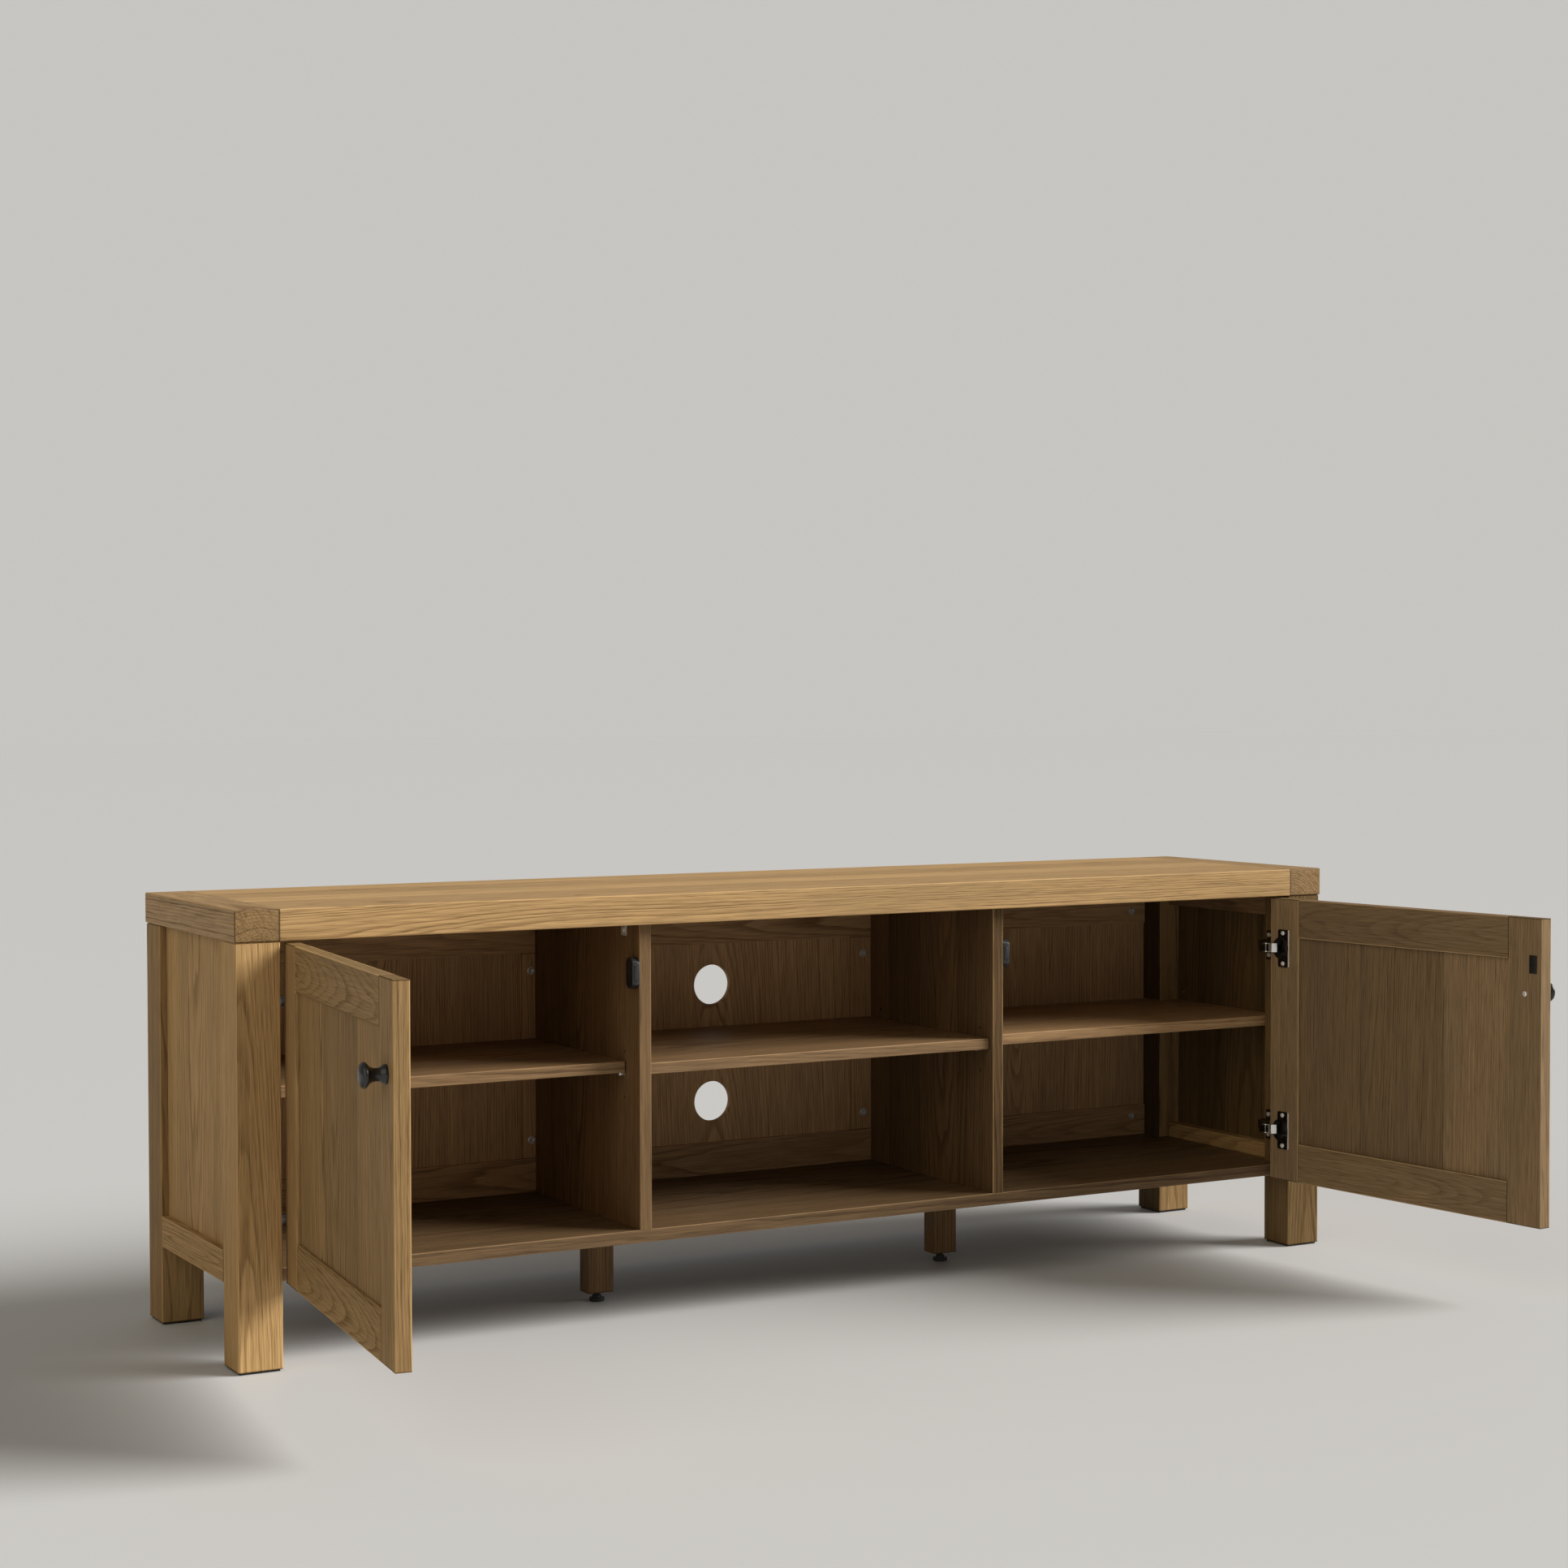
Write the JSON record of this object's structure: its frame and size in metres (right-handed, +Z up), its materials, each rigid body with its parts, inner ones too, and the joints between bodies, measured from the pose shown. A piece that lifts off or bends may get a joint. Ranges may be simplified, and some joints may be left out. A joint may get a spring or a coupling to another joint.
{
  "type": "media cabinet",
  "caption": "Low oak media cabinet with framed doors on concealed hinges at both ends, an open middle bay, adjustable shelves and cable holes in the back.",
  "frame": {"origin": "on the floor, at the centre of the cabinet's footprint, ignoring the open doors", "axes": "+X towards the cabinet's right as seen from the front, +Y from the front to the back, +Z up"},
  "size_m": [1.8108, 0.9219, 0.6],
  "materials": {
    "oak": "satin, brushed grain",
    "oak_inner": "satin, brushed grain",
    "black_plastic": "matt",
    "catch_plastic": "satin",
    "magnet_steel": "satin",
    "black_knob": "satin",
    "strike_steel": "satin black",
    "zinc_steel": "satin",
    "nickel": "polished nickel"
  },
  "bodies": {
    "cabinet": {"back_muntin_left": "oak_inner", "back_muntin_right": "oak_inner", "back_panel_left": "oak_inner", "back_panel_middle": "oak_inner", "back_panel_right": "oak_inner", "back_rail_bottom": "oak_inner", "back_rail_top": "oak_inner", "back_screws": "zinc_steel", "bottom_panel": "oak_inner", "catch_housings": "catch_plastic", "catch_magnets": "magnet_steel", "divider_left": "oak_inner", "divider_right": "oak_inner", "fixing_screws": "zinc_steel", "hinge_arms": "nickel", "hinge_plates": "nickel", "leg_back_left": "oak", "leg_back_right": "oak", "leg_front_left": "oak", "leg_front_right": "oak", "leg_pads": "black_plastic", "mid_legs": "oak_inner", "shelf_left": "oak_inner", "shelf_middle": "oak_inner", "shelf_pins": "zinc_steel", "shelf_right": "oak_inner", "side_panel_left": "oak", "side_panel_right": "oak", "side_rail_left": "oak", "side_rail_right": "oak", "side_top_rails": "oak_inner", "top_brackets": "zinc_steel", "top_endcap_left": "oak", "top_endcap_right": "oak", "top_front_board": "oak", "top_panel": "oak"},
    "door_left": {"door_left_bottom_rail": "oak", "door_left_cup_screws": "zinc_steel", "door_left_free_stile": "oak", "door_left_hinge_cups": "nickel", "door_left_hinge_stile": "oak", "door_left_knob": "black_knob", "door_left_knob_screw": "zinc_steel", "door_left_panel": "oak", "door_left_strike": "strike_steel", "door_left_top_rail": "oak"},
    "door_right": {"door_right_bottom_rail": "oak", "door_right_cup_screws": "zinc_steel", "door_right_free_stile": "oak", "door_right_hinge_cups": "nickel", "door_right_hinge_stile": "oak", "door_right_knob": "black_knob", "door_right_knob_screw": "zinc_steel", "door_right_panel": "oak", "door_right_strike": "strike_steel", "door_right_top_rail": "oak"},
    "links_left": {"hinge_links_left": "nickel"},
    "links_right": {"hinge_links_right": "nickel"},
    "foot_left": {"mid_foot_left": "black_plastic"},
    "foot_right": {"mid_foot_right": "black_plastic"}
  },
  "joints": [
    {"name": "door_left_swing", "type": "hinge", "parent": "cabinet", "child": "door_left", "pos_m": [-0.818, -0.196, 0.3335], "axis": [0, 0, 1], "range_deg": [0, 96]},
    {"name": "door_right_swing", "type": "hinge", "parent": "cabinet", "child": "door_right", "pos_m": [0.818, -0.196, 0.3335], "axis": [0, 0, 1], "range_deg": [-96, 0]},
    {"name": "links_left_fold", "type": "hinge", "parent": "cabinet", "child": "links_left", "pos_m": [-0.7933, -0.1855, 0.3335], "axis": [0, 0, 1], "range_deg": [-75.6, 0]},
    {"name": "links_right_fold", "type": "hinge", "parent": "cabinet", "child": "links_right", "pos_m": [0.7933, -0.1855, 0.3335], "axis": [0, 0, 1], "range_deg": [0, 75.6]},
    {"name": "foot_left_screw", "type": "slide", "parent": "cabinet", "child": "foot_left", "axis": [0, 0, 1], "range_m": [0, 0.0045]},
    {"name": "foot_right_screw", "type": "slide", "parent": "cabinet", "child": "foot_right", "axis": [0, 0, 1], "range_m": [0, 0.0045]}
  ],
  "couplings": [
    {"joint": "links_left_fold", "follows": "door_left_swing", "ratio": -0.7875},
    {"joint": "links_right_fold", "follows": "door_right_swing", "ratio": -0.7875}
  ]
}
